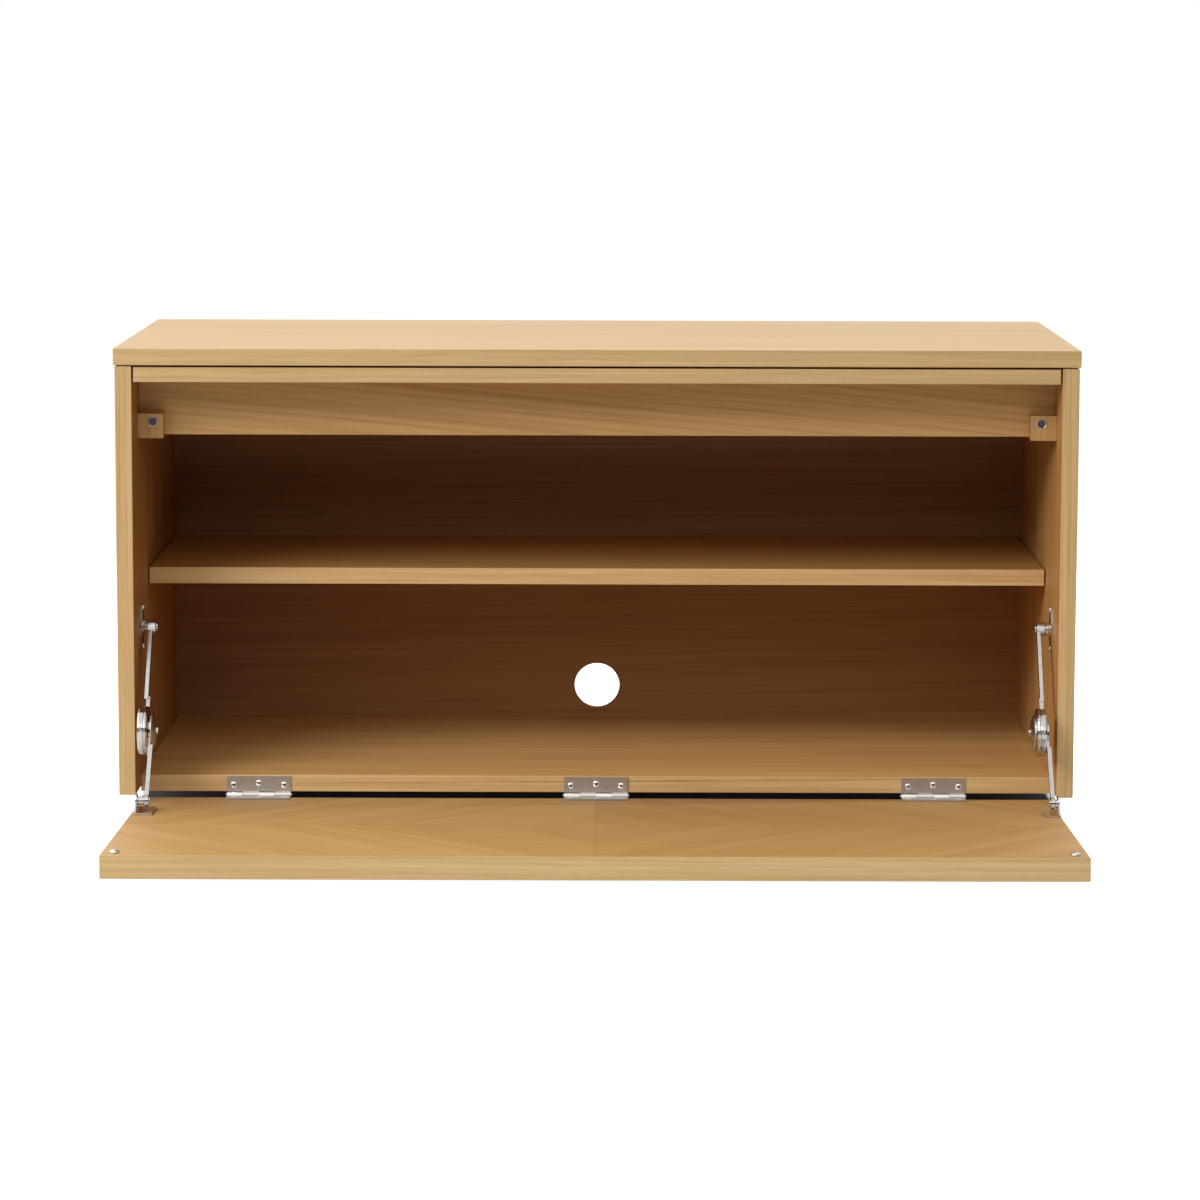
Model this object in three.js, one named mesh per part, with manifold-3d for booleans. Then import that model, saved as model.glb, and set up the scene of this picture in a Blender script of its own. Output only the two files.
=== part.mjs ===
// A wall-hung media cabinet in oak: a low carcass with one adjustable shelf, closed by a flap that is hinged
// along its lower edge and held by two jointed stays with friction brakes. The flap is modelled open.
//
// Modelling frame, in millimetres: X to the right from the centre plane, Y towards the wall from the front
// edges of the side panels, Z up from their lower edges. The finished group is shifted at the end, so that
// its origin lies on the rear face behind the hanging rail.

import * as THREE from "three";
import { mergeVertices } from "three/addons/utils/BufferGeometryUtils.js";
import Module from "manifold-3d";

// ---------------------------------------------------------------- driving dimensions

const CABINET_WIDTH = 1030;
const CABINET_DEPTH = 475;
const SIDE_HEIGHT = 464;
const BOARD = 18;

const TOP_OVERHANG = 1.5; // at both ends and at the front
const SHADOW_GAP = 1.2; // under the rim of the top panel
const SHADOW_GAP_DEPTH = 9;

const NOSING_DEPTH = 26.5; // front part of the upper carcass panel, flush with the side panels' edges
const NOSING_THICKNESS = 16;
const NOSING_GAP = 1.9; // from the nosing to each side panel
const FASCIA_SETBACK = 73;
const FASCIA_LOWER_EDGE = 384.5;
const BOTTOM_SETBACK = 53.5;
const BOTTOM_UNDERSIDE = -4.7; // the bottom panel stands a little lower than the side panels
const BACK_THICKNESS = 10;
const CABLE_HOLE_DIAMETER = 53;
const CABLE_HOLE_ABOVE_BOTTOM = 38.7;
const RAIL_HEIGHT = 60;

const SHELF_UNDERSIDE = 212;
const SHELF_SETBACK = 149;
const SHELF_PLAY = 1.5; // at each end and at the back
const PIN_RADIUS = 2.5;
const PIN_PITCH = 51;
const PIN_ROWS = 3;
const PIN_COLUMNS = [215, 425];
const PIN_HOLE_DEPTH = 10;
const PIN_REACH = 9;

const FLAP_THICKNESS = 24;
const FLAP_SIDE_PLAY = 3;
const FLAP_TILT = THREE.MathUtils.degToRad(2.07); // the open flap stands a little above level
const FLAP_FREE_EDGE = 425; // from the hinge axis
const FLAP_REAR_EDGE = 4;

const HINGE_CENTRES = { left: -368, middle: 0, right: 368 };
const HINGE_WIDTH = 70;
const LEAF_THICKNESS = 1.5;
const LEAF_PLAY = 0.5; // from each leaf to the plane of the axis
const LEAF_REACH = 20.5;
const BARREL_RADIUS = 3.2;
const BARREL_CLEARANCE = 0.4; // from a leaf to the knuckles of the other leaf
const HINGE_PIN_RADIUS = 1.3;
const KNUCKLES = 4;
const SCREW_SPACING = 27.5;

const STRIKE_FROM_AXIS = 408.5;
const MAGNET_X = 480.3;
const MAGNET_RADIUS = 4.3;
const MAGNET_LENGTH = 12;
const BLOCK_WIDTH = 28.2;
const BLOCK_HEIGHT = 27;
const BLOCK_UNDERSIDE = 382;

const STAY_PIVOT = { y: 72, z: 174 };
const STAY_KNEE = { y: -1, z: 71 };
const FOOT_FROM_AXIS = 118;
const FOOT_PIVOT_HEIGHT = 12; // above the flap's inner face
const BRAKE_RADIUS = 26.5;
const BRAKE_THICKNESS = 11;
const BRAKE_CAP_RADIUS = 20.5;
const BRAKE_CAP_HEIGHT = 5.4;

const GAP = 0.3; // between pieces that turn, and under what is fixed to the tilted flap

// ---------------------------------------------------------------- derived dimensions

const INNER = CABINET_WIDTH / 2 - BOARD;
const CARCASS_TOP_UNDERSIDE = SIDE_HEIGHT - BOARD;
const BACK_FRONT = CABINET_DEPTH - BACK_THICKNESS;
const BOTTOM_TOP = BOTTOM_UNDERSIDE + BOARD;
const PIN_FIRST_ROW = SHELF_UNDERSIDE - PIN_RADIUS;
const FLAP_FACE = -(LEAF_THICKNESS + LEAF_PLAY + GAP); // inner face, from the hinge axis
const HINGE_Y = BOTTOM_SETBACK - LEAF_THICKNESS - LEAF_PLAY;
const HINGE_Z = BOTTOM_UNDERSIDE - BARREL_RADIUS - GAP;
const MAGNET_Z = HINGE_Z + STRIKE_FROM_AXIS;
const BLOCK_FRONT = HINGE_Y + 1.7;
const WALL_FACE = { y: CABINET_DEPTH, z: CARCASS_TOP_UNDERSIDE - RAIL_HEIGHT / 2 };

// A point on the open flap: how far it is from the hinge axis, and how high above the inner face.
function onFlap(along, height) {
  const lift = height + FLAP_FACE;
  return {
    y: HINGE_Y - along * Math.cos(FLAP_TILT) + lift * Math.sin(FLAP_TILT),
    z: HINGE_Z + along * Math.sin(FLAP_TILT) + lift * Math.cos(FLAP_TILT),
  };
}

const STAY_FOOT = onFlap(FOOT_FROM_AXIS, FOOT_PIVOT_HEIGHT);
const UPPER_ARM = Math.hypot(STAY_KNEE.y - STAY_PIVOT.y, STAY_KNEE.z - STAY_PIVOT.z);
const LOWER_ARM = Math.hypot(STAY_KNEE.y - STAY_FOOT.y, STAY_KNEE.z - STAY_FOOT.z);

// ---------------------------------------------------------------- materials

const oak = new THREE.MeshStandardMaterial({ color: 0xc59a5f, roughness: 0.55, metalness: 0 });
const oakInside = new THREE.MeshStandardMaterial({ color: 0x9c6f3c, roughness: 0.6, metalness: 0 });
const oakFlap = new THREE.MeshStandardMaterial({ color: 0xb5894e, roughness: 0.5, metalness: 0 });
const nickel = new THREE.MeshStandardMaterial({ color: 0xc9c6c1, roughness: 0.28, metalness: 1 });
const steel = new THREE.MeshStandardMaterial({ color: 0xa9a29c, roughness: 0.4, metalness: 1 });
const magnet = new THREE.MeshStandardMaterial({ color: 0x4c4f55, roughness: 0.5, metalness: 0.7 });

// ---------------------------------------------------------------- solids

const wasm = await Module();
wasm.setup();

function toSolid(geometry) {
  const bare = geometry.clone();
  bare.deleteAttribute("normal");
  bare.deleteAttribute("uv");
  const merged = mergeVertices(bare, 1e-4);
  return new wasm.Manifold(
    new wasm.Mesh({
      numProp: 3,
      vertProperties: merged.attributes.position.array,
      triVerts: new Uint32Array(merged.index.array),
    }),
  );
}

function toGeometry(solid) {
  const { vertProperties, triVerts } = solid.getMesh();
  const geometry = new THREE.BufferGeometry();
  geometry.setAttribute("position", new THREE.BufferAttribute(vertProperties, 3));
  geometry.setIndex(new THREE.BufferAttribute(triVerts, 1));
  geometry.computeVertexNormals();
  return geometry;
}

function join(first, ...others) {
  return toGeometry(others.reduce((whole, g) => whole.add(toSolid(g)), toSolid(first)));
}

function cut(body, ...tools) {
  return toGeometry(tools.reduce((rest, tool) => rest.subtract(toSolid(tool)), toSolid(body)));
}

// A box between two values on each axis.
function box([x0, x1], [y0, y1], [z0, z1]) {
  const geometry = new THREE.BoxGeometry(x1 - x0, y1 - y0, z1 - z0);
  return geometry.translate((x0 + x1) / 2, (y0 + y1) / 2, (z0 + z1) / 2);
}

// A body of revolution. The profile holds [radius, place along the axis] pairs, from one end to the other.
function turned(profile, axis, segments) {
  const points = profile.map(([radius, along]) => new THREE.Vector2(radius, along));
  const geometry = new THREE.LatheGeometry(points, segments);
  if (axis === "x") geometry.rotateZ(-Math.PI / 2);
  if (axis === "z") geometry.rotateX(Math.PI / 2);
  return geometry;
}

// A round rod along X, centred on a point of the YZ plane.
function rod([x0, x1], radius, { y, z } = { y: 0, z: 0 }, segments = 24) {
  const profile = [[0, x0], [radius, x0], [radius, x1], [0, x1]];
  return turned(profile, "x", segments).translate(0, y, z);
}

// A flat outline in the YZ plane, given thickness along X.
function plate(shape, [x0, x1]) {
  const geometry = new THREE.ExtrudeGeometry(shape, {
    depth: x1 - x0,
    bevelEnabled: false,
    curveSegments: 6,
  });
  const axes = new THREE.Matrix4().makeBasis(
    new THREE.Vector3(0, 1, 0),
    new THREE.Vector3(0, 0, 1),
    new THREE.Vector3(1, 0, 0),
  );
  return geometry.applyMatrix4(axes).translate(x0, 0, 0);
}

// The stretch of X between two distances from a side panel's inner face. side is -1 at the left and 1 at the
// right.
function fromSide(side, near, far) {
  const ends = [side * (INNER - near), side * (INNER - far)];
  return [Math.min(...ends), Math.max(...ends)];
}

// A group at a pivot, whose own Y axis points along a link, from its pivot to the other end.
function linkGroup(from, to) {
  const group = new THREE.Group();
  group.position.set(0, from.y, from.z);
  group.rotation.x = Math.atan2(to.z - from.z, to.y - from.y);
  return group;
}

function add(group, name, material, geometry) {
  const mesh = new THREE.Mesh(geometry, material);
  mesh.name = name;
  group.add(mesh);
}

// ---------------------------------------------------------------- carcass

const cabinet = new THREE.Group();
cabinet.position.set(0, -WALL_FACE.y, -WALL_FACE.z);

const flap = new THREE.Group();
flap.position.set(0, HINGE_Y, HINGE_Z);
flap.rotation.x = -FLAP_TILT;
cabinet.add(flap);

const SIDES = { left: -1, right: 1 };

// The top panel's rim stands clear of the carcass by the shadow gap all round, except at the wall.
function topPanel() {
  const half = CABINET_WIDTH / 2 + TOP_OVERHANG;
  const rimBottom = SIDE_HEIGHT + SHADOW_GAP;
  const slab = box([-half, half], [-TOP_OVERHANG, CABINET_DEPTH], [rimBottom, rimBottom + BOARD]);
  const inset = CABINET_WIDTH / 2 - SHADOW_GAP_DEPTH;
  const seat = box([-inset, inset], [SHADOW_GAP_DEPTH, CABINET_DEPTH], [SIDE_HEIGHT, rimBottom + 1]);
  return join(slab, seat);
}

// Each side panel has two columns of blind holes for the shelf pins.
function sidePanel(side) {
  const panel = box(fromSide(side, -BOARD, 0), [0, CABINET_DEPTH], [0, SIDE_HEIGHT]);
  const holes = [];
  for (const y of PIN_COLUMNS) {
    for (let row = 0; row < PIN_ROWS; row += 1) {
      const centre = { y, z: PIN_FIRST_ROW + row * PIN_PITCH };
      holes.push(rod(fromSide(side, -PIN_HOLE_DEPTH, 1), PIN_RADIUS + 0.1, centre, 12));
    }
  }
  return cut(panel, ...holes);
}

function backPanel() {
  const y = [BACK_FRONT, CABINET_DEPTH];
  const panel = box([-INNER, INNER], y, [BOTTOM_UNDERSIDE, SIDE_HEIGHT]);
  const radius = CABLE_HOLE_DIAMETER / 2;
  const profile = [[0, -1], [radius, -1], [radius, BACK_THICKNESS + 1], [0, BACK_THICKNESS + 1]];
  const hole = turned(profile, "y", 40);
  hole.translate(0, BACK_FRONT, BOTTOM_TOP + CABLE_HOLE_ABOVE_BOTTOM);
  return cut(panel, hole);
}

const SCREW = { head: 3.4, shank: 1.5, length: 13, sunk: 0.15 };
const SCREW_FACES = 10;
const RECESS = { half: 2, width: 0.45, depth: 0.9 };

// Countersunk screw on its own axis, which runs along Y; its head ends just under the surface at 0.
function screw(depthOfHead) {
  const { head, shank, length, sunk } = SCREW;
  const profile = [[0, sunk], [head, sunk], [shank, depthOfHead], [shank, length - 2], [0, length]];
  const slot = box([-RECESS.half, RECESS.half], [-1, sunk + RECESS.depth], [-RECESS.width, RECESS.width]);
  return cut(turned(profile, "y", SCREW_FACES), slot, slot.clone().rotateY(Math.PI / 2));
}

// The hole for that screw, a little larger all round.
function screwHole(depthOfHead) {
  const wide = SCREW.head + 0.2;
  const narrow = SCREW.shank + 0.2;
  const end = SCREW.length + 0.5;
  const profile = [[0, -1], [wide, -1], [wide, 0], [narrow, depthOfHead], [narrow, end], [0, end]];
  return turned(profile, "y", SCREW_FACES);
}

// The three screws of a leaf lie in a shallow zigzag.
function leafScrews(centre) {
  return [-1, 0, 1].map((place) => ({
    x: centre + place * SCREW_SPACING,
    reach: LEAF_REACH - (place === 0 ? 7.6 : 9.6),
  }));
}

function bottomPanel() {
  const y = [BOTTOM_SETBACK, BACK_FRONT];
  const panel = box([-INNER, INNER], y, [BOTTOM_UNDERSIDE, BOTTOM_TOP]);
  const holes = Object.values(HINGE_CENTRES)
    .flatMap(leafScrews)
    .map(({ x, reach }) =>
      screwHole(LEAF_THICKNESS).translate(x, BOTTOM_SETBACK - LEAF_THICKNESS, HINGE_Z + reach),
    );
  return cut(panel, ...holes);
}

// The upper carcass panel ends in a thinner nosing, which stands clear of the top and the side panels.
function carcassTopPanel() {
  const board = box([-INNER, INNER], [NOSING_DEPTH, BACK_FRONT], [CARCASS_TOP_UNDERSIDE, SIDE_HEIGHT]);
  const half = INNER - NOSING_GAP;
  const middle = SIDE_HEIGHT - BOARD / 2;
  const z = [middle - NOSING_THICKNESS / 2, middle + NOSING_THICKNESS / 2];
  return join(board, box([-half, half], [0, NOSING_DEPTH + 1], z));
}

add(cabinet, "top_panel", oak, topPanel());
add(cabinet, "bottom_panel", oakInside, bottomPanel());
add(cabinet, "back_panel", oakInside, backPanel());
add(cabinet, "carcass_top_panel", oak, carcassTopPanel());
add(
  cabinet,
  "fascia_rail",
  oak,
  box([-INNER, INNER], [FASCIA_SETBACK, FASCIA_SETBACK + BOARD], [FASCIA_LOWER_EDGE, CARCASS_TOP_UNDERSIDE]),
);
add(
  cabinet,
  "hanging_rail",
  oakInside,
  box(
    [-INNER, INNER],
    [BACK_FRONT - BOARD, BACK_FRONT],
    [CARCASS_TOP_UNDERSIDE - RAIL_HEIGHT, CARCASS_TOP_UNDERSIDE],
  ),
);
add(
  cabinet,
  "adjustable_shelf",
  oakInside,
  box(
    [-INNER + SHELF_PLAY, INNER - SHELF_PLAY],
    [SHELF_SETBACK, BACK_FRONT - SHELF_PLAY],
    [SHELF_UNDERSIDE, SHELF_UNDERSIDE + BOARD],
  ),
);

// ---------------------------------------------------------------- catches and shelf pins

// A block of oak in the upper corner, bored for a round magnet.
function catchBlock(side) {
  const z = [BLOCK_UNDERSIDE, BLOCK_UNDERSIDE + BLOCK_HEIGHT];
  const block = box(fromSide(side, 0, BLOCK_WIDTH), [BLOCK_FRONT, FASCIA_SETBACK], z);
  const end = MAGNET_LENGTH + 0.2;
  const profile = [[0, -1], [MAGNET_RADIUS + 0.15, -1], [MAGNET_RADIUS + 0.15, end], [0, end]];
  const bore = turned(profile, "y", 20).translate(side * MAGNET_X, BLOCK_FRONT, MAGNET_Z);
  return cut(block, bore);
}

function catchMagnet(side) {
  const radius = MAGNET_RADIUS;
  const profile = [[0, 0.2], [radius - 0.6, 0.2], [radius, 0.6], [radius, MAGNET_LENGTH], [0, MAGNET_LENGTH]];
  return turned(profile, "y", 20).translate(side * MAGNET_X, BLOCK_FRONT, MAGNET_Z);
}

for (const [word, side] of Object.entries(SIDES)) {
  add(cabinet, `${word}_side_panel`, oak, sidePanel(side));
  add(cabinet, `${word}_catch_block`, oak, catchBlock(side));
  add(cabinet, `${word}_catch_magnet`, magnet, catchMagnet(side));
  PIN_COLUMNS.forEach((y, column) => {
    const pin = rod(fromSide(side, -PIN_REACH, PIN_REACH), PIN_RADIUS, { y, z: PIN_FIRST_ROW }, 12);
    add(cabinet, `${word}_${column === 0 ? "front" : "rear"}_shelf_pin`, steel, pin);
  });
}

// ---------------------------------------------------------------- layout of the stays

// Where each piece of a stay lies, as distances from the side panel's inner face. The two stays are the same
// hand, so the lower arm is on the room side of the left brake and on the panel side of the right one.
const STAY_LAYERS = {
  left: {
    head: [7.5, 16.5],
    arm: [8.2, 13],
    tongue: [10.2, 15],
    brake: [4.3, 4.3 + BRAKE_THICKNESS],
    lowerArm: [16.4, 20.8],
    kneePlate: [15.7, 18],
    cap: [18, 18 + BRAKE_CAP_HEIGHT],
    foot: [7, 9],
    footBase: [7, 27],
  },
  right: {
    head: [8, 17],
    arm: [12.8, 17],
    tongue: [13.4, 18.2],
    brake: [12.9, 12.9 + BRAKE_THICKNESS],
    lowerArm: [8.1, 12.5],
    kneePlate: [10.2, 12.5],
    cap: [12.9 + BRAKE_THICKNESS, 12.9 + BRAKE_THICKNESS + BRAKE_CAP_HEIGHT],
    foot: [3.6, 5.6],
    footBase: [3.6, 22],
  },
};
const STAY_PIN_RADIUS = 3;
const FOOT_PIN_RADIUS = 2.4;
const FOOT_LENGTH = 52;
const FOOT_BASE = 2;

// The foot's screws stand upright in the flap, in front of the pivot and behind it.
const FOOT_SCREWS = [-17, 17];
const FOOT_SCREW_INSET = 5; // from the base's edge at the room side

// Copies of a screw or its hole, turned upright and put in their places in one foot's base.
function footScrewsOf(side, geometry) {
  const { footBase } = side < 0 ? STAY_LAYERS.left : STAY_LAYERS.right;
  const x = side * (INNER - footBase[1] + FOOT_SCREW_INSET);
  const upright = geometry.rotateX(-Math.PI / 2);
  const head = FLAP_FACE + GAP + FOOT_BASE;
  return FOOT_SCREWS.map((offset) => upright.clone().translate(x, -FOOT_FROM_AXIS + offset, head));
}

// ---------------------------------------------------------------- flap

// Round steel strike for the magnet: a domed head on a shank that is let into the flap.
const STRIKE = { radius: 5.1, rim: 1.3, dome: 3.2, shank: 2, length: 8 };

function strike(side) {
  const { radius, rim, dome, shank, length } = STRIKE;
  const profile = [
    [0, FLAP_FACE - length],
    [shank, FLAP_FACE - length],
    [shank, FLAP_FACE + GAP],
    [radius, FLAP_FACE + GAP],
    [radius, FLAP_FACE + rim],
    [radius * 0.88, FLAP_FACE + dome * 0.72],
    [radius * 0.55, FLAP_FACE + dome * 0.94],
    [0, FLAP_FACE + dome],
  ];
  return turned(profile, "z", 20).translate(side * MAGNET_X, -STRIKE_FROM_AXIS, 0);
}

function flapPanel() {
  const half = INNER - FLAP_SIDE_PLAY;
  const z = [FLAP_FACE - FLAP_THICKNESS, FLAP_FACE];
  const panel = box([-half, half], [-FLAP_FREE_EDGE, -FLAP_REAR_EDGE], z);
  const radius = STRIKE.shank + GAP;
  const low = FLAP_FACE - STRIKE.length - GAP;
  const bores = Object.values(SIDES).map((side) =>
    turned([[0, low], [radius, low], [radius, 0], [0, 0]], "z", 12).translate(
      side * MAGNET_X,
      -STRIKE_FROM_AXIS,
      0,
    ),
  );
  const pilots = Object.values(SIDES).flatMap((side) => footScrewsOf(side, screwHole(FOOT_BASE)));
  return cut(panel, ...bores, ...pilots);
}

add(flap, "flap_panel", oakFlap, flapPanel());
for (const [word, side] of Object.entries(SIDES)) add(flap, `${word}_strike`, nickel, strike(side));

// ---------------------------------------------------------------- butt hinges

const KNUCKLE = HINGE_WIDTH / KNUCKLES;

// The knuckles that belong to one leaf: the first and third to the flap's, the others to the cabinet's.
function knuckles(centre, first) {
  const ends = [];
  for (let place = first; place < KNUCKLES; place += 2) {
    const start = centre - HINGE_WIDTH / 2 + place * KNUCKLE;
    ends.push([start + GAP / 2, start + KNUCKLE - GAP / 2]);
  }
  return ends;
}

// One leaf: a plate with three countersunk holes and its knuckles, round the axis at the frame's origin.
// The plate's face is at `face` on Y and it reaches up along Z; the flap's leaf is turned into place.
function leaf(centre, first, face, behind) {
  const clear = BARREL_RADIUS + BARREL_CLEARANCE;
  const thickness = [Math.min(face, face + behind), Math.max(face, face + behind)];
  const half = HINGE_WIDTH / 2 - GAP / 2;
  const sheet = box([centre - half, centre + half], thickness, [clear, LEAF_REACH]);
  const pieces = knuckles(centre, first).flatMap((ends) => [
    rod(ends, BARREL_RADIUS, undefined, 16),
    box(ends, thickness, [0, clear + 1]),
  ]);
  const bore = rod([centre - HINGE_WIDTH, centre + HINGE_WIDTH], HINGE_PIN_RADIUS + 0.1, undefined, 10);
  const holes = leafScrews(centre).map(({ x, reach }) => {
    const hole = screwHole(LEAF_THICKNESS);
    if (behind < 0) hole.rotateZ(Math.PI);
    return hole.translate(x, face, reach);
  });
  return cut(join(sheet, ...pieces), bore, ...holes);
}

function hingePin(centre) {
  const end = HINGE_WIDTH / 2;
  const r = HINGE_PIN_RADIUS;
  const profile = [
    [0, -end - 1.4],
    [r + 0.7, -end - 1],
    [r + 0.7, -end],
    [r, -end],
    [r, end],
    [r + 0.7, end],
    [r + 0.7, end + 1],
    [0, end + 1.4],
  ];
  return turned(profile, "x", 10).translate(centre, 0, 0);
}

for (const [word, centre] of Object.entries(HINGE_CENTRES)) {
  const cabinetLeaf = leaf(centre, 1, LEAF_PLAY, LEAF_THICKNESS).translate(0, HINGE_Y, HINGE_Z);
  add(cabinet, `hinge_${word}_cabinet_leaf`, steel, cabinetLeaf);
  add(cabinet, `hinge_${word}_pin`, nickel, hingePin(centre).translate(0, HINGE_Y, HINGE_Z));
  leafScrews(centre).forEach(({ x, reach }, index) => {
    const placed = screw(LEAF_THICKNESS).translate(x, HINGE_Y + LEAF_PLAY, HINGE_Z + reach);
    add(cabinet, `hinge_${word}_screw_${index + 1}`, nickel, placed);
  });
  // The flap's leaf stands up as the cabinet's does when the flap is shut, so it is turned down by a quarter.
  const flapLeaf = leaf(centre, 0, -LEAF_PLAY, -LEAF_THICKNESS).rotateX(Math.PI / 2);
  add(flap, `hinge_${word}_flap_leaf`, steel, flapLeaf);
}

// ---------------------------------------------------------------- stays

// A rounded lozenge, wide at the middle, with an eye for a screw at each end.
function lozenge(halfLength, halfWidth, tip) {
  const shape = new THREE.Shape();
  shape.moveTo(-halfWidth, 0);
  shape.quadraticCurveTo(-halfWidth, halfLength * 0.45, -tip, halfLength - tip);
  shape.absarc(0, halfLength - tip, tip, Math.PI, 0, true);
  shape.quadraticCurveTo(halfWidth, halfLength * 0.45, halfWidth, 0);
  shape.quadraticCurveTo(halfWidth, -halfLength * 0.45, tip, tip - halfLength);
  shape.absarc(0, tip - halfLength, tip, 0, Math.PI, true);
  shape.quadraticCurveTo(-halfWidth, -halfLength * 0.45, -halfWidth, 0);
  return shape;
}

// A bar along Y from one place to another, wider at its start than at its end.
function taperedBar(from, to, startHalf, endHalf) {
  const shape = new THREE.Shape();
  shape.moveTo(from, -startHalf);
  shape.lineTo(to, -endHalf);
  shape.lineTo(to, endHalf);
  shape.lineTo(from, startHalf);
  shape.closePath();
  return shape;
}

// Plate on the side panel with the fixed stud that the upper arm turns on.
function sideBracket(side, layers) {
  const sheet = plate(lozenge(25, 11, 3.6), fromSide(side, 0, 2.2));
  const boss = rod(fromSide(side, 1, layers.head[0] - GAP), 7.5);
  const stud = rod(fromSide(side, 1, layers.head[1] + GAP + 0.5), STAY_PIN_RADIUS);
  const rivetHead = rod(fromSide(side, layers.head[1] + GAP, layers.head[1] + 2), 4.8);
  return join(sheet, boss, stud, rivetHead).translate(0, STAY_PIVOT.y, STAY_PIVOT.z);
}

// Upper arm: an eye, a tapering bar and a thinner tongue that enters the brake.
function upperArm(side, layers) {
  const eye = rod(fromSide(side, ...layers.head), 8);
  const bar = plate(taperedBar(0, UPPER_ARM - 36, 5.2, 4.4), fromSide(side, ...layers.arm));
  const reach = UPPER_ARM - BRAKE_RADIUS - GAP;
  const tongue = plate(taperedBar(UPPER_ARM - 40, reach, 3.4, 3.4), fromSide(side, ...layers.tongue));
  const bore = rod(fromSide(side, 0, 30), STAY_PIN_RADIUS + GAP);
  return cut(join(eye, bar, tongue), bore);
}

// Brake housing: a drum with rounded rims and a groove, and a window in the rim for the stop. Along X.
function brakeHousing(side, layers) {
  const r = BRAKE_RADIUS;
  const t = BRAKE_THICKNESS;
  const profile = [
    [0, 0],
    [r - 2.2, 0],
    [r - 0.7, 0.6],
    [r, 2],
    [r, t * 0.56],
    [r - 0.7, t * 0.56 + 0.4],
    [r - 0.7, t * 0.56 + 1.1],
    [r, t * 0.56 + 1.5],
    [r, t - 2],
    [r - 0.7, t - 0.6],
    [r - 2.2, t],
    [0, t],
  ];
  const drum = turned(profile, "x", 36);
  if (side > 0) drum.rotateY(Math.PI);
  drum.translate(side * (INNER - layers.brake[0]), 0, 0);
  const window = box(fromSide(side, layers.brake[0] + 2.4, layers.brake[1] - 3), [-r - 1, -r + 3], [-2, 3]);
  return cut(drum, window);
}

// Domed cap on the brake's room side, bored for the adjusting screw.
function brakeCap(side, layers) {
  const r = BRAKE_CAP_RADIUS;
  const profile = [
    [0, 0],
    [r, 0],
    [r, 1.2],
    [r - 1.6, 2.6],
    [r - 7, 4.4],
    [8, BRAKE_CAP_HEIGHT],
    [0, BRAKE_CAP_HEIGHT],
  ];
  const dome = turned(profile, "x", 30);
  if (side > 0) dome.rotateY(Math.PI);
  dome.translate(side * (INNER - layers.cap[0]), 0, 0);
  return cut(dome, rod(fromSide(side, layers.cap[0] + 2, layers.cap[1] + 2), 5 + GAP, undefined, 20));
}

// Adjusting screw: a cheese head with a slot, level with the cap or a little proud of it.
function adjuster(side, layers) {
  const head = rod(fromSide(side, layers.cap[0] + 2 + GAP, layers.cap[1] + 1.9), 5, undefined, 20);
  const slot = box(fromSide(side, layers.cap[1] + 0.7, layers.cap[1] + 3), [-6, 6], [-0.7, 0.7]);
  return cut(head, slot);
}

// Lower arm: an eye at the foot, a tapering bar, and a round plate against the brake.
function lowerArm(side, layers) {
  const eye = rod(fromSide(side, ...layers.lowerArm), 6);
  const end = LOWER_ARM - BRAKE_CAP_RADIUS - 1;
  const bar = plate(taperedBar(0, end, 3.6, 4.4), fromSide(side, ...layers.lowerArm));
  const web = plate(taperedBar(end - 14, LOWER_ARM, 4.4, 6), fromSide(side, ...layers.kneePlate));
  const disc = rod(fromSide(side, ...layers.kneePlate), 15, { y: LOWER_ARM, z: 0 });
  const bore = rod(fromSide(side, 0, 30), FOOT_PIN_RADIUS + GAP, undefined, 16);
  return cut(join(eye, bar, web, disc), bore);
}

// Foot bracket on the flap: a base with two screw holes, an upright ear and the fixed rivet through the arm.
function footBracket(side, layers) {
  const [low, high] = [-FOOT_FROM_AXIS - FOOT_LENGTH / 2, -FOOT_FROM_AXIS + FOOT_LENGTH / 2];
  const seat = FLAP_FACE + GAP;
  const base = box(fromSide(side, ...layers.footBase), [low, high], [seat, seat + FOOT_BASE]);
  const ear = new THREE.Shape();
  ear.moveTo(-20, seat + 1);
  ear.lineTo(20, seat + 1);
  ear.lineTo(9, FLAP_FACE + FOOT_PIVOT_HEIGHT);
  ear.absarc(0, FLAP_FACE + FOOT_PIVOT_HEIGHT, 8, 0, Math.PI, false);
  ear.lineTo(-9, FLAP_FACE + FOOT_PIVOT_HEIGHT);
  ear.closePath();
  const upright = plate(ear, fromSide(side, ...layers.foot)).translate(0, -FOOT_FROM_AXIS, 0);
  const pivot = { y: -FOOT_FROM_AXIS, z: FLAP_FACE + FOOT_PIVOT_HEIGHT };
  const armEnds = layers.lowerArm;
  const collar = rod(fromSide(side, layers.foot[0], armEnds[0] - GAP), 4.4, pivot);
  const rivet = rod(fromSide(side, layers.foot[0], armEnds[1] + GAP + 0.5), FOOT_PIN_RADIUS, pivot, 16);
  const head = rod(fromSide(side, armEnds[1] + GAP, armEnds[1] + 1.8), 4.2, pivot);
  return cut(join(base, upright, collar, rivet, head), ...footScrewsOf(side, screwHole(FOOT_BASE)));
}

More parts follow.
